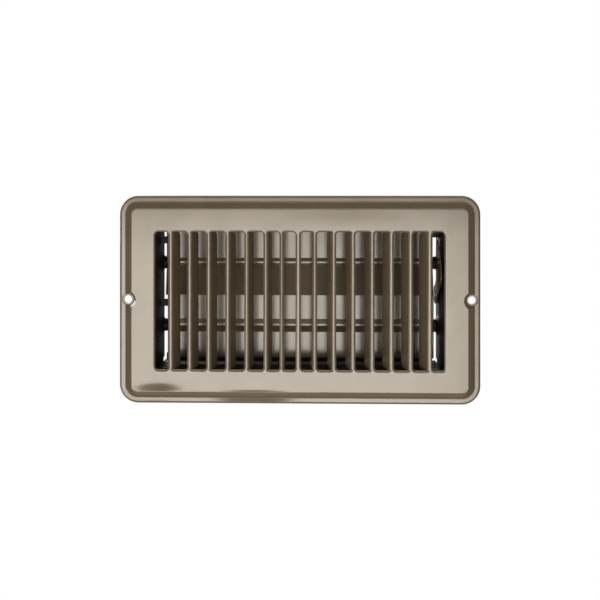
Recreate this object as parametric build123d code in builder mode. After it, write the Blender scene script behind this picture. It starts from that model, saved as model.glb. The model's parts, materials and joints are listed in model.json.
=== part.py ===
from build123d import *
import os
from math import atan2, cos, degrees, pi, radians, sin, sqrt, tan

# Louvred supply-air register for a 4 x 8 inch duct opening, with a two-blade damper behind the louvres.
# Millimetres. X runs along the face, Z up, Y into the duct, so the face looks towards -Y.
# The origin is the centre of the flange's back plane, where the register rests on the wall.

os.makedirs("parts", exist_ok=True)

# ---------------------------------------------------------------- driving dimensions

# Stamped face
face_w = 241.3
face_h = 139.2
corner_r = 12.5
sheet = 0.8
flange_w = 4.2  # flat border outside the slope
flange_rise = 1.6  # front of the border above the wall
slope_run = 4.4
slope_rise = 5.0
plateau_fillet = 1.0
foot_fillet = 1.0
rim_fillet = 1.5

# Screw pads: round recesses with sloping sides, down to the wall
screw_x = 115.0
screw_hole_r = 2.5
pad_r = 3.5
pad_taper = 25.0

# Slots and bars
slot_h = 91.7
slot_z = -0.25
slot_r = 2.2
slot_round = 2.0  # radius of the rolled slot edges
slot_round_depth = 0.7
field_half = 96.0  # outer ends of the end slots
bar_shift = 0.4  # of the whole row of bars
bar_w = 2.8
plain_edge = 0.35  # extra metal on the side of a bar that has no vane
wide_pitch = 12.7
narrow_pitch = 10.7
wide_left = 5  # wide spaces left of the narrow ones
narrow_count = 3
wide_right = 6

# Vanes: metal of the slots bent back. Angles are from the plate, outermost vane first on the left,
# innermost first on the right.
vane_h = 91.1
vane_bend_r = 1.5
vane_root = 0.45  # flat part of a vane, from the bar's middle away from the bend
bend_relief = 1.2  # how much of a bar's width the bend takes
wide_vane = 10.0
narrow_vane = 8.0
vane_top_r = 3.2
vane_bottom_r = 3.6
left_vane_angles = (67, 69.5, 70.5, 71.5, 74.5, 74, 84)
right_vane_angles = (81, 75, 72.5, 72, 67.5, 67, 62)

# Damper box
wall_x = 96.8  # inner faces of the end walls
wall_z = 48.2  # inner faces of the long walls
box_rear = 43.0
box_flange = 6.0  # front flanges, welded behind the plateau
box_corner_gap = 2.0  # end walls stop this far short of the long walls
wall_bend_r = 0.8
wall_end_gap = 0.5
lip_tip = 43.4
lip_left = -95.2
lip_right = 92.6
side_tab = 9.5  # end-wall tabs that lap over the long walls
side_tab_front = 3.0
side_tab_rear = 38.0

# Blades
pivot_y = 33.2
pivot_z = 22.0
blade_sheet = 0.7
blade_half = 93.4
upper_shift = -0.25  # where each blade sits along X within its end float
lower_shift = 0.45
blade_front = 31.6
blade_reach = 22.6  # pivot line to a straight edge
lap_lean = 14.5  # lower half of the upper blade, forwards
lap_edge = -0.25  # height of its edge
lower_top_edge = 0.7  # upper edge of the lower blade
upper_groove_half = 3.4
lower_groove_half = 4.5
groove_floor_half = 0.8
groove_depth = 3.2
edge_return = 1.5
edge_bend_r = 0.5

# Stop tabs, lanced out of the end walls in front of the blades' upper halves
stop_above_pivot = 16.0
right_stop_z = 42.5
stop_half = 2.5
stop_inner = 91.6
stop_back = 31.0

# Pivots and bushes
trunnion_r = 2.4
bush_bore_r = 2.46
bush_barrel_r = 4.0
bush_lip_r = 4.6
bush_lip_inner_r = 4.3
bush_lip = 0.5
boss_height = 1.5
boss_base_r = 7.6
boss_tip_r = 4.9
wheel_boss_height = 0.8
wheel_boss_base_r = 6.0
wheel_boss_tip_r = 5.6
collar_r = 4.4
collar_gap = 0.2
tongue_length = 9.0
tongue_thick = 1.6
tongue_half = 3.0
peg_r = 0.45
peg_head_r = 0.55
peg_head = 0.4
left_trunnion_out = 1.0  # beyond the bush lip

# Gears: three equal wheels in line, the middle one turned by the thumb wheel
gear_module = 1.0
gear_teeth = 22
gear_pressure = 20.0
gear_backlash = 0.16
gear_thick = 2.3
gear_gap = 0.2
gear_hub_r = 4.2
gear_hub = 0.5
gear_flat = 1.7  # D-flat on the shafts, from the axis
addendum = 0.9
dedendum = 1.25
tooth_root = 0.6  # part of a tooth below the root circle
flank_steps = 6

# Thumb wheel: a sector plate. Its outline is in (y, z), with the rim in the upper half of the right end slot.
rim_low = (1.9, 13.2)
rim_mid = (6.4, 26.0)
rim_high = (21.5, 38.6)
back_high = (26.5, 37.2)
back_low = (24.5, 13.0)
web_back = (33.2, 5.5)
web_front = (30.2, -5.0)
notch_at = (16.2, 35.6)
wheel_inner = 94.7
wheel_sheet = 0.8
wheel_hub_r = 6.5
wheel_corner_r = 1.6
wheel_notch_r = 1.2
wheel_square = 3.2
rivet_head_r = 3.0
rivet_head = 0.5
rivet_shank_r = 0.8
rivet_depth = 3.0
washer_inner_r = 2.66
washer_outer_r = 5.4
washer_thick = 0.2
washer_gap = 0.02

# Corner rivets
corner_rivet_x = 92.0
corner_rivet_y = (9.0, 31.0)
corner_rivet_r = 1.2
corner_head_r = 2.2
corner_head = 0.45
corner_head_taper = 30
corner_clench_r = 1.8

# ---------------------------------------------------------------- derived values

plateau_front = flange_rise + slope_rise  # distance of the plateau's front before the wall plane
plate_back = -(plateau_front - sheet)
plate_mid = -(plateau_front - sheet / 2)
slope_angle = atan2(slope_rise, slope_run)
slope_taper = 90 - degrees(slope_angle)
foot_w = face_w - 2 * flange_w
foot_h = face_h - 2 * flange_w
foot_r = corner_r - flange_w

pitches = [wide_pitch] * wide_left + [narrow_pitch] * narrow_count + [wide_pitch] * wide_right
bars = [bar_shift - sum(pitches) / 2]
for pitch in pitches:
    bars.append(bars[-1] + pitch)

blade_back = blade_front + blade_sheet
blade_mid = blade_front + blade_sheet / 2
groove_back = blade_back + groove_depth
wheel_outer = wheel_inner + wheel_sheet
wall_outer = wall_x + sheet
bush_end = wall_outer + bush_lip
gear_inner = bush_end + gear_gap
gear_outer = gear_inner + gear_thick
pitch_r = gear_module * gear_teeth / 2


def finish(piece, name):
    """Labels a finished piece and writes its STEP file."""
    piece.part.label = name
    export_step(piece.part, "parts/" + name + ".step")


# ---------------------------------------------------------------- stamped face


def face_form(inset):
    """The closed form under the stamped face, every surface moved inwards by inset."""
    foot_shift = inset * tan(slope_angle / 2)
    level = flange_rise - inset
    with BuildPart() as form:
        with BuildSketch(Plane.XZ):
            RectangleRounded(face_w - 2 * inset, face_h - 2 * inset, corner_r - inset)
        extrude(amount=level)
        with BuildSketch(Plane.XZ.offset(level)):
            RectangleRounded(foot_w - 2 * foot_shift, foot_h - 2 * foot_shift, foot_r - foot_shift)
        extrude(amount=slope_rise, taper=slope_taper)
        plateau = form.faces().sort_by(Axis.Y)[0]
        fillet(plateau.edges(), radius=plateau_fillet - inset)
        border = form.faces().filter_by_position(Axis.Y, -level, -level)[0]
        fillet(border.inner_wires()[0].edges(), radius=foot_fillet + inset)
        border = form.faces().filter_by_position(Axis.Y, -level, -level)[0]
        fillet(border.outer_wire().edges(), radius=rim_fillet - inset)
        with BuildSketch(Plane.XZ.offset(sheet - inset)):
            with Locations((-screw_x, 0), (screw_x, 0)):
                Circle(pad_r + inset * tan(radians(90 - pad_taper) / 2))
        extrude(amount=plateau_front, taper=-pad_taper, mode=Mode.SUBTRACT)
    return form.part


def vane(bar_x, side, angle, depth):
    """One flap: leaves the bar's side edge, bends back and leans towards the middle of the face."""
    corner_x = bar_x + side * (bar_w - sheet) / 2
    tip_x = corner_x + side * depth * cos(radians(angle))
    tip_y = plate_mid + depth * sin(radians(angle))
    root_x = bar_x - side * vane_root
    with BuildPart() as flap:
        with BuildSketch(Plane.XY.offset(slot_z - vane_h / 2)):
            with BuildLine():
                FilletPolyline((root_x, plate_mid), (corner_x, plate_mid), (tip_x, tip_y), radius=vane_bend_r)
            trace(line_width=sheet)
        extrude(amount=vane_h)
        free_edge = flap.faces().sort_by_distance((tip_x, tip_y, 0))[0]
        fillet(free_edge.edges().sort_by(Axis.Z)[-1], radius=vane_top_r)
        free_edge = flap.faces().sort_by_distance((tip_x, tip_y, 0))[0]
        fillet(free_edge.edges().sort_by(Axis.Z)[0], radius=vane_bottom_r)
    return flap.part


vanes = []
for index, angle in enumerate(left_vane_angles):
    depth = wide_vane if index < wide_left else narrow_vane
    vanes.append(vane(bars[index], 1, angle, depth))
for index, angle in enumerate(right_vane_angles):
    depth = narrow_vane if index == 0 else wide_vane
    vanes.append(vane(bars[len(left_vane_angles) + 1 + index], -1, angle, depth))

slot_edges = [-field_half]
for index, bar in enumerate(bars):
    left_relief = bend_relief if index > len(left_vane_angles) else -plain_edge
    right_relief = bend_relief if index < len(left_vane_angles) else -plain_edge
    slot_edges += [bar - bar_w / 2 + left_relief, bar + bar_w / 2 - right_relief]
slot_edges.append(field_half)


def rolled_slot(left, right):
    """The air taken away by one slot: straight through the sheet, widening to the front in a round."""
    width = right - left
    overlap = slot_round - sqrt(slot_round**2 - (slot_round - slot_round_depth) ** 2)
    with BuildPart() as air:
        with Locations(((left + right) / 2, -plateau_front - sheet / 2, slot_z)):
            Box(width + 4 * slot_round, sheet, slot_h + 4 * slot_round)
        with BuildSketch(Plane.XZ.offset(plateau_front)):
            with Locations(((left + right) / 2, slot_z)):
                RectangleRounded(width - 2 * overlap, slot_h - 2 * overlap, slot_r - overlap)
        extrude(amount=-2 * slot_round)
        shoulder = [face for face in air.faces() if face.inner_wires()][0]
        fillet(shoulder.inner_wires()[0].edges(), radius=slot_round)
        with BuildSketch(Plane.XZ.offset(plateau_front - slot_round_depth)):
            with Locations(((left + right) / 2, slot_z)):
                RectangleRounded(width, slot_h, slot_r)
        extrude(amount=-2 * slot_round)
    return air.part


outer_form = face_form(0)
inner_form = face_form(sheet)

with BuildPart() as faceplate:
    add(outer_form)
    add(inner_form, mode=Mode.SUBTRACT)
    for left, right in zip(slot_edges[0::2], slot_edges[1::2]):
        add(rolled_slot(left, right), mode=Mode.SUBTRACT)
    with BuildSketch(Plane.XZ.offset(flange_rise + 1)):
        with Locations((-screw_x, 0), (screw_x, 0)):
            Circle(screw_hole_r)
    extrude(amount=-(flange_rise + 2), mode=Mode.SUBTRACT)
    for flap in vanes:
        add(flap)
finish(faceplate, "faceplate")

# ---------------------------------------------------------------- damper box

# Long wall: front flange outwards, rear lip inwards. The lip stops short of the corners.
with BuildPart() as top_wall:
    with BuildSketch(Plane.YZ):
        with BuildLine():
            FilletPolyline(
                (plate_back + sheet / 2, wall_z + sheet + box_flange),
                (plate_back + sheet / 2, wall_z + sheet / 2),
                (box_rear - sheet / 2, wall_z + sheet / 2),
                (box_rear - sheet / 2, lip_tip),
                radius=wall_bend_r,
            )
        trace(line_width=sheet)
    extrude(amount=wall_x - wall_end_gap, both=True)
    for lip_end, end in ((lip_left, -wall_x), (lip_right, wall_x)):
        with Locations(((lip_end + end) / 2, box_rear, lip_tip)):
            Box(abs(end - lip_end), 4 * sheet, 2 * (wall_z - lip_tip), mode=Mode.SUBTRACT)
    with Locations(Plane.XY.offset(wall_z + sheet)):
        with Locations(*[(x, y) for x in (-corner_rivet_x, corner_rivet_x) for y in corner_rivet_y]):
            Hole(corner_rivet_r)
finish(top_wall, "top_wall")

with BuildPart() as bottom_wall:
    mirror(top_wall.part, about=Plane.XY)
finish(bottom_wall, "bottom_wall")


def end_wall(side, bush_heights, stop_heights):
    """One end of the box: flat wall, front flange, two tabs over the long walls, holes and stop tabs."""
    mid = side * (wall_x + sheet / 2)
    tab_z = wall_z + 1.5 * sheet
    with BuildPart() as wall:
        with BuildSketch(Plane.XY.offset(-wall_z + box_corner_gap)):
            with BuildLine():
                FilletPolyline(
                    (side * (wall_outer + box_flange), plate_back + sheet / 2),
                    (mid, plate_back + sheet / 2),
                    (mid, box_rear),
                    radius=wall_bend_r,
                )
            trace(line_width=sheet)
        extrude(amount=2 * (wall_z - box_corner_gap))
        with BuildSketch(Plane.XZ.offset(-side_tab_front)):
            with BuildLine():
                FilletPolyline(
                    (side * (wall_outer - side_tab), tab_z),
                    (mid, tab_z),
                    (mid, -tab_z),
                    (side * (wall_outer - side_tab), -tab_z),
                    radius=wall_bend_r,
                )
            trace(line_width=sheet)
        extrude(amount=-(side_tab_rear - side_tab_front))
        with Locations(Plane.XY.offset(tab_z + sheet)):
            with Locations(*[(side * corner_rivet_x, y) for y in corner_rivet_y]):
                Hole(corner_rivet_r)
        with BuildSketch(Plane.YZ.offset(side * (wall_x - 1))):
            for z in bush_heights:
                with Locations((pivot_y, z)):
                    Circle(bush_barrel_r)
            for z in stop_heights:
                with Locations((stop_back - sheet - stop_half, z)):
                    Rectangle(2 * stop_half, 2 * stop_half)
        extrude(amount=side * (sheet + 2), mode=Mode.SUBTRACT)
        for z in stop_heights:
            with Locations((side * (stop_inner + wall_x) / 2, stop_back - sheet / 2, z)):
                Box(wall_x - stop_inner, sheet, 2 * stop_half)
            with Locations((mid, stop_back - sheet / 2, z)):
                Box(sheet, sheet, 2 * stop_half)
    return wall


left_stops = [pivot_z + stop_above_pivot, -pivot_z + stop_above_pivot]
left_end_wall = end_wall(-1, [pivot_z, -pivot_z], left_stops)
finish(left_end_wall, "left_end_wall")
right_end_wall = end_wall(1, [pivot_z, 0, -pivot_z], [right_stop_z])
finish(right_end_wall, "right_end_wall")

# Rivets through the end-wall tabs and the long walls: round head outside, clenched inside.
tab_top = wall_z + 2 * sheet
with BuildPart() as corner_rivets:
    for level in (1, -1):
        with BuildSketch(Plane.XY.offset(level * (wall_z - corner_head))):
            with Locations(*[(x, y) for x in (-corner_rivet_x, corner_rivet_x) for y in corner_rivet_y]):
                Circle(corner_clench_r)
        extrude(amount=level * corner_head)
        with BuildSketch(Plane.XY.offset(level * wall_z)):
            with Locations(*[(x, y) for x in (-corner_rivet_x, corner_rivet_x) for y in corner_rivet_y]):
                Circle(corner_rivet_r)
        extrude(amount=level * 2 * sheet)
        with BuildSketch(Plane.XY.offset(level * tab_top)):
            with Locations(*[(x, y) for x in (-corner_rivet_x, corner_rivet_x) for y in corner_rivet_y]):
                Circle(corner_head_r)
        extrude(amount=level * corner_head, taper=corner_head_taper)
finish(corner_rivets, "corner_rivets")

# ---------------------------------------------------------------- blades


def groove_points(axis_z, groove_half, direction):
    """Mid-line of the groove from one side of the pivot line to the other, going along direction."""
    floor = blade_mid + groove_depth
    return [
        (blade_mid, axis_z - direction * groove_half),
        (floor, axis_z - direction * groove_floor_half),
        (floor, axis_z + direction * groove_floor_half),
        (blade_mid, axis_z + direction * groove_half),
    ]


def blade(points, shift):
    """A pressed sheet blade from its mid-line in the YZ plane, shifted along X within its end float."""
    with BuildPart() as body:
        with BuildSketch(Plane.YZ.offset(shift - blade_half)):
            with BuildLine():
                FilletPolyline(*points, radius=edge_bend_r)
            trace(line_width=blade_sheet)
        extrude(amount=2 * blade_half)
        for end in (-1, 1):
            peg_x = shift + end * (blade_half - tongue_length / 2)
            axis_z = pivot_z if points[0][1] > 0 else -pivot_z
            with BuildSketch(Plane.XZ.offset(-blade_front)):
                with Locations((peg_x, axis_z)):
                    Circle(peg_r)
            extrude(amount=-2 * groove_depth, mode=Mode.SUBTRACT)
    return body


lap_drop = pivot_z - upper_groove_half - lap_edge
upper_points = [
    (blade_mid + edge_return, pivot_z + blade_reach),
    (blade_mid, pivot_z + blade_reach),
    *groove_points(pivot_z, upper_groove_half, -1),
    (blade_mid - lap_drop * tan(radians(lap_lean)), lap_edge),
]
upper_blade = blade(upper_points, upper_shift)
finish(upper_blade, "upper_blade")

lower_points = [
    (blade_mid + edge_return, -pivot_z - blade_reach),
    (blade_mid, -pivot_z - blade_reach),
    *groove_points(-pivot_z, lower_groove_half, 1),
    (blade_mid, lower_top_edge),
]
lower_blade = blade(lower_points, lower_shift)
finish(lower_blade, "lower_blade")

# ---------------------------------------------------------------- pivots and bushes


def bush(side, axis_z, height, base_r, tip_r):
    """Snap-in bush: round boss inside the wall, barrel through it, lip outside."""
    profile = [
        (wall_x - height, bush_bore_r),
        (wall_x - height, tip_r),
        (wall_x, base_r),
        (wall_x, bush_barrel_r),
        (wall_outer, bush_barrel_r),
        (wall_outer, bush_lip_r),
        (bush_end, bush_lip_inner_r),
        (bush_end, bush_bore_r),
    ]
    with BuildPart() as body:
        with BuildSketch(Plane.XZ.offset(-pivot_y)):
            with BuildLine():
                Polyline(*[(side * x, axis_z + r) for x, r in profile], close=True)
            make_face()
        revolve(axis=Axis((0, pivot_y, axis_z), (1, 0, 0)))
    return body


def rod(start, end, radius, axis_z):
    """Plain round bar along X on the pivot line at axis_z."""
    with BuildPart() as body:
        with BuildSketch(Plane.YZ.offset(start)):
            with Locations((pivot_y, axis_z)):
                Circle(radius)
        extrude(amount=end - start)
    return body.part


def flat_cut(start, end, axis_z):
    """The metal that a D-flat takes off a shaft between two stations."""
    with BuildPart() as body:
        with BuildSketch(Plane.YZ.offset(start)):
            with Locations((pivot_y + gear_flat + trunnion_r, axis_z)):
                Rectangle(2 * trunnion_r, 4 * trunnion_r)
        extrude(amount=end - start)
    return body.part


def pivot(side, axis_z, shift, shaft_end, driven):
    """Moulded blade end: tongue behind the groove with a staked peg, collar, trunnion through the bush."""
    blade_end = shift + side * blade_half
    collar_start = blade_end + side * collar_gap
    collar_end = side * (wall_x - boss_height - collar_gap)
    tongue_start = blade_end - side * tongue_length
    peg_x = blade_end - side * tongue_length / 2
    with BuildPart() as body:
        with BuildSketch(Plane.YZ.offset(tongue_start)):
            with Locations((groove_back + tongue_thick / 2, axis_z)):
                Rectangle(tongue_thick, 2 * tongue_half)
        extrude(amount=collar_start - tongue_start)
        with BuildSketch(Plane.XZ.offset(-groove_back)):
            with Locations((peg_x, axis_z)):
                Circle(peg_r)
        extrude(amount=blade_sheet)
        with BuildSketch(Plane.XZ.offset(-(groove_back - blade_sheet))):
            with Locations((peg_x, axis_z)):
                Circle(peg_head_r)
        extrude(amount=peg_head)
        add(rod(collar_start, collar_end, collar_r, axis_z))
        add(rod(collar_end, side * shaft_end, trunnion_r, axis_z))
        if driven:
            add(flat_cut(gear_inner, shaft_end, axis_z), mode=Mode.SUBTRACT)
    return body


for side, side_name, driven in ((-1, "left", False), (1, "right", True)):
    shaft_end = gear_outer + gear_hub if driven else bush_end + left_trunnion_out
    for axis_z, shift, blade_name in ((pivot_z, upper_shift, "upper"), (-pivot_z, lower_shift, "lower")):
        finish(bush(side, axis_z, boss_height, boss_base_r, boss_tip_r), f"{blade_name}_{side_name}_bush")
        finish(pivot(side, axis_z, shift, shaft_end, driven), f"{blade_name}_{side_name}_pivot")
finish(bush(1, 0, wheel_boss_height, wheel_boss_base_r, wheel_boss_tip_r), "wheel_bush")

# ---------------------------------------------------------------- gears


def involute_angle(radius, base_r):
    """Polar angle of an involute at a radius, from where it leaves its base circle."""
    if radius <= base_r:
        return 0.0
    unwound = sqrt((radius / base_r) ** 2 - 1)
    return unwound - atan2(unwound, 1)


def tooth_outline():
    """Corner points of one tooth that points along the local x axis."""
    base_r = pitch_r * cos(radians(gear_pressure))
    root_r = pitch_r - dedendum * gear_module
    tip_r = pitch_r + addendum * gear_module
    half_pitch_angle = (pi * gear_module / 2 - gear_backlash) / (2 * pitch_r)
    flank = []
    for step in range(flank_steps + 1):
        radius = base_r + (tip_r - base_r) * step / flank_steps
        turn = half_pitch_angle + involute_angle(pitch_r, base_r) - involute_angle(radius, base_r)
        flank.append((radius * cos(turn), radius * sin(turn)))
    foot_angle = half_pitch_angle + involute_angle(pitch_r, base_r)
    foot_r = root_r - tooth_root
    foot = (foot_r * cos(foot_angle), foot_r * sin(foot_angle))
    upper = [foot] + flank
    lower = [(x, -y) for x, y in reversed(upper)]
    return upper + lower


def gear(axis_z, first_tooth, bore):
    """Spur gear outside the right end wall, with one tooth at the angle first_tooth (degrees)."""
    root_r = pitch_r - dedendum * gear_module
    outline = tooth_outline()
    with BuildPart() as body:
        with BuildSketch(Plane.YZ.offset(gear_inner)):
            with Locations((pivot_y, axis_z)):
                Circle(root_r)
                with PolarLocations(0, gear_teeth, start_angle=first_tooth):
                    Polygon(*outline, align=None)
        extrude(amount=gear_thick)
        with BuildSketch(Plane.YZ.offset(gear_outer)):
            with Locations((pivot_y, axis_z)):
                Circle(gear_hub_r)
        extrude(amount=gear_hub)
        if bore:
            with BuildSketch(Plane.YZ.offset(gear_inner)):
                with Locations((pivot_y, axis_z)):
                    Circle(trunnion_r)
                    with Locations((gear_flat + trunnion_r, 0)):
                        Rectangle(2 * trunnion_r, 4 * trunnion_r, mode=Mode.SUBTRACT)
            extrude(amount=gear_thick + gear_hub, mode=Mode.SUBTRACT)
    return body


half_tooth = 180 / gear_teeth
finish(gear(pivot_z, -90 + half_tooth, True), "upper_gear")
finish(gear(-pivot_z, 90 + half_tooth, True), "lower_gear")

# The middle gear is moulded with its shaft, which carries the thumb wheel on a square inside the box.
with BuildPart() as wheel_gear:
    add(gear(0, 90, False).part)
    add(rod(wheel_outer, gear_inner, trunnion_r, 0))
    with BuildSketch(Plane.YZ.offset(wheel_inner)):
        with Locations((pivot_y, 0)):
            Rectangle(wheel_square, wheel_square)
    extrude(amount=wheel_sheet)
    with BuildSketch(Plane.YZ.offset(wheel_inner)):
        with Locations((pivot_y, 0)):
            Circle(rivet_shank_r)
    extrude(amount=rivet_depth, mode=Mode.SUBTRACT)
finish(wheel_gear, "wheel_gear")

# ---------------------------------------------------------------- thumb wheel

with BuildPart() as thumb_wheel:
    with BuildSketch(Plane.YZ.offset(wheel_inner)) as sector:
        with BuildLine():
            ThreePointArc(rim_low, rim_mid, rim_high)
            Polyline(rim_high, back_high, back_low, web_back, web_front, rim_low)
        make_face()
        fillet(sector.vertices().group_by(Axis.X)[0], radius=wheel_corner_r)
        with Locations((pivot_y, 0)):
            Circle(wheel_hub_r)
        with Locations(notch_at):
            Circle(wheel_notch_r, mode=Mode.SUBTRACT)
        with Locations((pivot_y, 0)):
            Rectangle(wheel_square, wheel_square, mode=Mode.SUBTRACT)
    extrude(amount=wheel_sheet)
finish(thumb_wheel, "thumb_wheel")

with BuildPart() as wheel_rivet:
    add(rod(wheel_inner - rivet_head, wheel_inner, rivet_head_r, 0))
    add(rod(wheel_inner, wheel_inner + rivet_depth, rivet_shank_r, 0))
finish(wheel_rivet, "wheel_rivet")

# Coned spring washer between the thumb wheel and its bush.
washer_space = wall_x - wheel_boss_height - wheel_outer - 2 * washer_gap
cone_rise = washer_space - washer_thick
with BuildPart() as friction_washer:
    with BuildSketch(Plane.XZ.offset(-pivot_y)):
        with BuildLine():
            Polyline(
                (wheel_outer + washer_gap, washer_inner_r),
                (wheel_outer + washer_gap + washer_thick, washer_inner_r),
                (wheel_outer + washer_gap + washer_thick + cone_rise, washer_outer_r),
                (wheel_outer + washer_gap + cone_rise, washer_outer_r),
                close=True,
            )
        make_face()
    revolve(axis=Axis((0, pivot_y, 0), (1, 0, 0)))
finish(friction_washer, "friction_washer")
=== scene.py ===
import json
import math

import bpy
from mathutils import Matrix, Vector


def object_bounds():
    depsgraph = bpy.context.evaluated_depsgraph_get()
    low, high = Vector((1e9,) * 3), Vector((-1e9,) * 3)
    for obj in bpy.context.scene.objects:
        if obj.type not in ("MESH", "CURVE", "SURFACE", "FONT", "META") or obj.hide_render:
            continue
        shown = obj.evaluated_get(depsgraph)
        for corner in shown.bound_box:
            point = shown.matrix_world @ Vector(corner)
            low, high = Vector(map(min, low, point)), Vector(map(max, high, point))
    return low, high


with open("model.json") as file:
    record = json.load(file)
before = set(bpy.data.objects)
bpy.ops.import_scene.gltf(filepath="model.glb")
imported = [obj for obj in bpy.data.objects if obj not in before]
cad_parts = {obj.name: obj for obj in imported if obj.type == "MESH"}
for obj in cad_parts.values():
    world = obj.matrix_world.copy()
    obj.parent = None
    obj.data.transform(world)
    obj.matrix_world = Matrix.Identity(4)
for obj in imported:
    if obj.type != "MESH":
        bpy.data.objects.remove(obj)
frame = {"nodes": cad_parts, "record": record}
cad_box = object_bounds()

# All lengths are in metres.


# ---------------------------------------------------------------- shader nodes


def new_material(name):
    """A material with one Principled shader. Returns the material, its node tree and the shader."""
    material = bpy.data.materials.new(name)
    material.use_nodes = True
    tree = material.node_tree
    return material, tree, tree.nodes["Principled BSDF"]


def part_coordinates(tree):
    """Places in the part's own coordinates."""
    return tree.nodes.new("ShaderNodeTexCoord").outputs["Object"]


def noise(tree, size, detail=2.0, roughness=0.5):
    """Noise whose features are about size across."""
    texture = tree.nodes.new("ShaderNodeTexNoise")
    texture.inputs["Scale"].default_value = 1 / size
    texture.inputs["Detail"].default_value = detail
    texture.inputs["Roughness"].default_value = roughness
    tree.links.new(part_coordinates(tree), texture.inputs["Vector"])
    return texture.outputs["Fac"]


def flakes(tree, size):
    """A random value for each cell of about size: the metal flakes in the paint."""
    texture = tree.nodes.new("ShaderNodeTexVoronoi")
    texture.inputs["Scale"].default_value = 1 / size
    split = tree.nodes.new("ShaderNodeSeparateColor")
    tree.links.new(part_coordinates(tree), texture.inputs["Vector"])
    tree.links.new(texture.outputs["Color"], split.inputs["Color"])
    return split.outputs["Red"]


def stretch(tree, value, source=(0, 1), target=(0, 1)):
    """The value stretched from the source range to the target range, and held at its ends."""
    ranged = tree.nodes.new("ShaderNodeMapRange")
    ranged.inputs["From Min"].default_value = source[0]
    ranged.inputs["From Max"].default_value = source[1]
    ranged.inputs["To Min"].default_value = target[0]
    ranged.inputs["To Max"].default_value = target[1]
    tree.links.new(value, ranged.inputs["Value"])
    return ranged.outputs["Result"]


def blend_colors(tree, factor, low, high):
    """Colour between low and high; either may be a colour or another node's output."""
    mix = tree.nodes.new("ShaderNodeMix")
    mix.data_type = "RGBA"
    # The node has sockets for every data type; these are the factor and the two colours.
    factor_socket, low_socket, high_socket = mix.inputs[0], mix.inputs[6], mix.inputs[7]
    tree.links.new(factor, factor_socket)
    for socket, color in ((low_socket, low), (high_socket, high)):
        if isinstance(color, bpy.types.NodeSocket):
            tree.links.new(color, socket)
        else:
            socket.default_value = (*color, 1)
    return mix.outputs[2]


def bump(tree, relief, height, under=None):
    """Bump as high as height where relief is 1, on top of another bump if one is given."""
    node = tree.nodes.new("ShaderNodeBump")
    node.inputs["Strength"].default_value = 1
    node.inputs["Distance"].default_value = height
    tree.links.new(relief, node.inputs["Height"])
    if under is not None:
        tree.links.new(under, node.inputs["Normal"])
    return node.outputs["Normal"]


def bulge(tree, middle, reach):
    """Relief of a soft oval swelling: 1 at its middle, 0 at its rim, which is reach away along X, Y and Z."""
    offset = tree.nodes.new("ShaderNodeVectorMath")
    offset.operation = "SUBTRACT"
    offset.inputs[1].default_value = middle
    in_reaches = tree.nodes.new("ShaderNodeVectorMath")
    in_reaches.operation = "DIVIDE"
    in_reaches.inputs[1].default_value = reach
    distance = tree.nodes.new("ShaderNodeVectorMath")
    distance.operation = "LENGTH"
    fall = tree.nodes.new("ShaderNodeMapRange")
    fall.interpolation_type = "SMOOTHSTEP"
    fall.inputs["To Min"].default_value = 1
    fall.inputs["To Max"].default_value = 0
    tree.links.new(part_coordinates(tree), offset.inputs[0])
    tree.links.new(offset.outputs["Vector"], in_reaches.inputs[0])
    tree.links.new(in_reaches.outputs["Vector"], distance.inputs[0])
    tree.links.new(distance.outputs["Value"], fall.inputs["Value"])
    return fall.outputs["Result"]


def white_to_camera(tree, lit_shader, white_shader, output):
    """The camera sees the white shader; light that bounces sees the other one."""
    path = tree.nodes.new("ShaderNodeLightPath")
    mix = tree.nodes.new("ShaderNodeMixShader")
    tree.links.new(path.outputs["Is Camera Ray"], mix.inputs["Fac"])
    tree.links.new(lit_shader, mix.inputs[1])
    tree.links.new(white_shader, mix.inputs[2])
    tree.links.new(mix.outputs["Shader"], tree.nodes[output].inputs["Surface"])


# ---------------------------------------------------------------- materials


def uneven_gloss(tree, shader, size, smoothest, roughest, detail=4):
    """Roughness that drifts between two values over patches of about size."""
    patches = noise(tree, size, detail)
    roughness = stretch(tree, patches, source=(0.3, 0.7), target=(smoothest, roughest))
    tree.links.new(roughness, shader.inputs["Roughness"])


def grain(tree, shader, size, detail, height):
    """Fine bump all over."""
    tree.links.new(bump(tree, noise(tree, size, detail), height), shader.inputs["Normal"])


def times(color, factor):
    """The colour made brighter or darker by a factor."""
    return tuple(channel * factor for channel in color)


def enamel(name, color, roughness, wave, bulges=()):
    """Semi-gloss metallic enamel on pressed sheet, with flakes, faint clouding, orange peel and waviness."""
    material, tree, shader = new_material(name)
    clouds = stretch(tree, noise(tree, size=0.02, detail=3), source=(0.35, 0.65))
    clouded = blend_colors(tree, clouds, times(color, 0.94), times(color, 1.06))
    glints = stretch(tree, flakes(tree, size=0.0003), target=(0, 0.10))
    flecked = blend_colors(tree, glints, clouded, times(color, 2))
    tree.links.new(flecked, shader.inputs["Base Color"])
    uneven_gloss(tree, shader, 0.012, roughness - 0.02, roughness + 0.02)
    # A strong, warm reflection: the flakes lie flat in the paint and mirror the lights.
    shader.inputs["IOR"].default_value = 2.0
    shader.inputs["Specular Tint"].default_value = (1.0, 0.93, 0.82, 1)
    orange_peel = bump(tree, noise(tree, size=0.0011, detail=1), height=0.0000015)
    surface = bump(tree, noise(tree, size=0.05, detail=1), wave, under=orange_peel)
    for middle, reach, height in bulges:
        surface = bump(tree, bulge(tree, middle, reach), height, under=surface)
    tree.links.new(surface, shader.inputs["Normal"])
    return material


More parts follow.
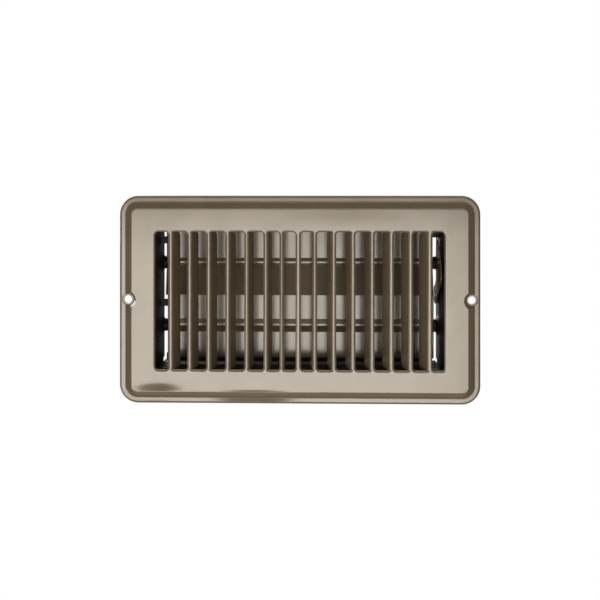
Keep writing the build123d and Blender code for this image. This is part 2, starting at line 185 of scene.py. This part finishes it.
def black_enamel():
    """Thin matt black paint on the sheet of the box."""
    material, tree, shader = new_material("black_enamel")
    wear = stretch(tree, noise(tree, size=0.009, detail=6, roughness=0.7), source=(0.5, 0.75))
    tone = blend_colors(tree, wear, (0.007, 0.006, 0.005), (0.018, 0.016, 0.013))
    tree.links.new(tone, shader.inputs["Base Color"])
    uneven_gloss(tree, shader, 0.006, 0.42, 0.56)
    grain(tree, shader, size=0.0009, detail=2, height=0.000006)
    return material


def black_nylon():
    """Moulded black plastic with a fine grain."""
    material, tree, shader = new_material("black_nylon")
    flow = stretch(tree, noise(tree, size=0.004, detail=3), source=(0.35, 0.65))
    tone = blend_colors(tree, flow, (0.013, 0.013, 0.014), (0.022, 0.022, 0.023))
    tree.links.new(tone, shader.inputs["Base Color"])
    uneven_gloss(tree, shader, 0.0015, 0.38, 0.52, detail=3)
    grain(tree, shader, size=0.0003, detail=2, height=0.000005)
    return material


def zinc_plate():
    """Bright zinc on the rivets and the spring washer."""
    material, tree, shader = new_material("zinc_plate")
    spangle = stretch(tree, noise(tree, size=0.0012, detail=5, roughness=0.7), source=(0.3, 0.7))
    tone = blend_colors(tree, spangle, (0.42, 0.43, 0.44), (0.62, 0.62, 0.60))
    tree.links.new(tone, shader.inputs["Base Color"])
    uneven_gloss(tree, shader, 0.0008, 0.28, 0.45)
    shader.inputs["Metallic"].default_value = 1
    grain(tree, shader, size=0.0004, detail=3, height=0.000006)
    return material


# ---------------------------------------------------------------- finishes on the CAD nodes

taupe = (0.19, 0.140, 0.084)
plate_front = cad_box[0][1]
# Where the pressed plate isn't quite flat: the middle, reach and height of each swelling.
plate_bulges = [
    ((-0.094, plate_front, -0.0650), (0.036, 0.02, 0.0130), 0.0014),
    ((-0.030, plate_front, -0.0640), (0.055, 0.02, 0.0060), 0.0007),
    ((0.035, plate_front, 0.0490), (0.050, 0.02, 0.0130), 0.00007),
]
finishes = {
    "face_paint": enamel("face_enamel", taupe, roughness=0.15, wave=0.00006, bulges=plate_bulges),
    "blade_paint": enamel("blade_enamel", taupe, roughness=0.17, wave=0.00002),
    "wheel_paint": enamel("wheel_enamel", taupe, roughness=0.16, wave=0.00001),
    "box_paint": black_enamel(),
    "black_nylon": black_nylon(),
    "rivet_steel": zinc_plate(),
}
for subpart in frame["record"]["subparts"]:
    node = frame["nodes"][subpart["node"]]
    node.data.materials.clear()
    node.data.materials.append(finishes[subpart["material_slot"]])


# ---------------------------------------------------------------- studio


def softbox(name, place, aim, width, height, power):
    """A rectangular soft light that faces a point."""
    light = bpy.data.lights.new(name, "AREA")
    light.shape = "RECTANGLE"
    light.size = width
    light.size_y = height
    light.energy = power
    lamp = bpy.data.objects.new(name, light)
    lamp.location = place
    lamp.rotation_euler = (Vector(aim) - Vector(place)).to_track_quat("-Z", "Y").to_euler()
    bpy.context.scene.collection.objects.link(lamp)


def white_world(ambient):
    """Plain white behind the object, and a dim even light from all round."""
    world = bpy.data.worlds.new("studio")
    world.use_nodes = True
    tree = world.node_tree
    backdrop = tree.nodes["Background"]
    backdrop.inputs["Color"].default_value = (1, 1, 1, 1)
    dim = tree.nodes.new("ShaderNodeBackground")
    dim.inputs["Color"].default_value = (1.0, 0.97, 0.93, 1)
    dim.inputs["Strength"].default_value = ambient
    white_to_camera(tree, dim.outputs["Background"], backdrop.outputs["Background"], "World Output")
    bpy.context.scene.world = world


def pale_floor(place, width, depth):
    """A matt floor that lights the object from below but is plain white itself."""
    bpy.ops.mesh.primitive_plane_add(size=1, location=place)
    floor = bpy.context.object
    floor.name = "floor"
    floor.scale = (width, depth, 1)
    material, tree, shader = new_material("floor_paint")
    clouds = stretch(tree, noise(tree, size=0.3), source=(0.3, 0.7))
    tone = blend_colors(tree, clouds, (0.80, 0.79, 0.77), (0.84, 0.83, 0.81))
    tree.links.new(tone, shader.inputs["Base Color"])
    shader.inputs["Roughness"].default_value = 0.8
    glow = tree.nodes.new("ShaderNodeEmission")
    white_to_camera(tree, shader.outputs["BSDF"], glow.outputs["Emission"], "Material Output")
    floor.data.materials.append(material)
    return floor


origin = (0, 0, 0)
white_world(ambient=0.15)
# The plateau mirrors the front softbox. The slopes round it look past its edges, so they are darker.
softbox("front_softbox", (-0.12, -1.9, -0.43), (-0.12, 0, 0), width=1.2, height=0.9, power=12.6)
softbox("top_softbox", (0, -0.5, 1.5), origin, width=1.6, height=0.6, power=5)
softbox("left_softbox", (-1.35, -1.35, -0.75), origin, width=1.3, height=1.0, power=5)
softbox("rear_softbox", (-0.9, 1.4, 0.5), origin, width=1.2, height=1.2, power=14)

# The floor lies low enough to leave the front softbox in the plateau's mirror image.
floor = pale_floor((0, -1.2, -1.1), width=4, depth=3.2)

# ---------------------------------------------------------------- camera

# The camera is square to the face but stands above its middle, so the lens is shifted down.
lens = bpy.data.cameras.new("camera")
lens.sensor_width = 36
lens.lens = 58.2
lens.shift_x = 0.034
lens.shift_y = -0.1997
camera = bpy.data.objects.new("camera", lens)
camera.location = (0.005, -0.650, 0.080)
level = math.radians(90)
yaw = math.radians(1.6)
camera.rotation_euler = (level, 0, yaw)
bpy.context.scene.collection.objects.link(camera)
bpy.context.scene.camera = camera

bpy.context.scene.view_settings.view_transform = "Standard"
